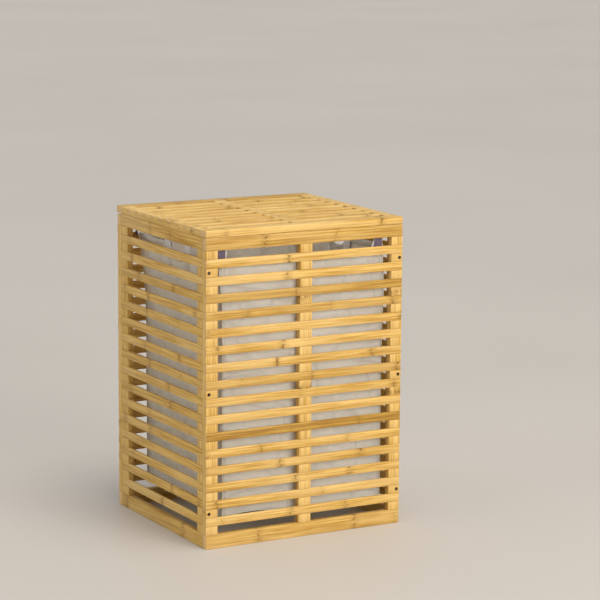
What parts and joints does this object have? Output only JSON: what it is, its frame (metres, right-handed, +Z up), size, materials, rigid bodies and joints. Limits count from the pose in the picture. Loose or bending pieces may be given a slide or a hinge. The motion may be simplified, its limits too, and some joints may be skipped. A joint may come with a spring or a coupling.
{
  "type": "laundry hamper with lid",
  "caption": "Tall box hamper of slatted bamboo panels with a hinged slatted lid and a white fabric liner bag hung inside from corner straps.",
  "frame": {"origin": "on the floor, under the middle of the closed hamper's box", "axes": "+Z up, -Y out of the front panel, +X to the right seen from the front"},
  "size_m": [0.42, 0.383, 0.6],
  "materials": {
    "bamboo": "satin lacquered bamboo, warm yellow, fine lengthwise grain",
    "dark_bamboo": "satin lacquered bamboo, a browner strip",
    "screw_steel": "dark browned steel",
    "hinge_brass": "brassed steel strip, satin",
    "hinge_pin": "plain steel wire",
    "liner_cotton": "matt off-white plain weave"
  },
  "bodies": {
    "hamper": {"front_top_rail": "bamboo", "front_bottom_rail": "bamboo", "front_left_stile": "bamboo", "front_middle_stile": "bamboo", "front_right_stile": "bamboo", "front_slat_01": "bamboo", "front_slat_02": "bamboo", "front_slat_03": "dark_bamboo", "front_slat_04": "dark_bamboo", "front_slat_05": "bamboo", "front_slat_06": "bamboo", "front_slat_07": "bamboo", "front_slat_08": "bamboo", "front_slat_09": "bamboo", "front_slat_10": "bamboo", "front_slat_11": "dark_bamboo", "front_slat_12": "bamboo", "front_slat_13": "bamboo", "front_slat_14": "bamboo", "front_slat_15": "bamboo", "front_slat_16": "bamboo", "back_panel": "bamboo", "left_side_panel": "bamboo", "right_side_panel": "bamboo", "front_screw_left_top": "screw_steel", "front_screw_left_middle": "screw_steel", "front_screw_left_bottom": "screw_steel", "front_screw_right_top": "screw_steel", "front_screw_right_middle": "screw_steel", "front_screw_right_bottom": "screw_steel", "back_screw_left_top": "screw_steel", "back_screw_left_middle": "screw_steel", "back_screw_left_bottom": "screw_steel", "back_screw_right_top": "screw_steel", "back_screw_right_middle": "screw_steel", "back_screw_right_bottom": "screw_steel", "hinge_left_panel_leaf": "hinge_brass", "hinge_right_panel_leaf": "hinge_brass", "hinge_left_pin": "hinge_pin", "hinge_right_pin": "hinge_pin", "liner_bag": "liner_cotton"},
    "lid": {"lid_front_rail": "bamboo", "lid_back_rail": "bamboo", "lid_left_stile": "bamboo", "lid_middle_stile": "bamboo", "lid_right_stile": "bamboo", "lid_slat_1": "bamboo", "lid_slat_2": "bamboo", "lid_slat_3": "bamboo", "lid_slat_4": "bamboo", "lid_slat_5": "bamboo", "lid_slat_6": "bamboo", "lid_slat_7": "bamboo", "lid_slat_8": "bamboo", "lid_slat_9": "bamboo", "hinge_left_lid_leaf": "hinge_brass", "hinge_right_lid_leaf": "hinge_brass"}
  },
  "joints": [
    {"name": "lid_hinge", "type": "hinge", "parent": "hamper", "child": "lid", "pos_m": [0, 0.1901, 0.5849], "axis": [-1, 0, 0], "range_deg": [0, 105]}
  ]
}
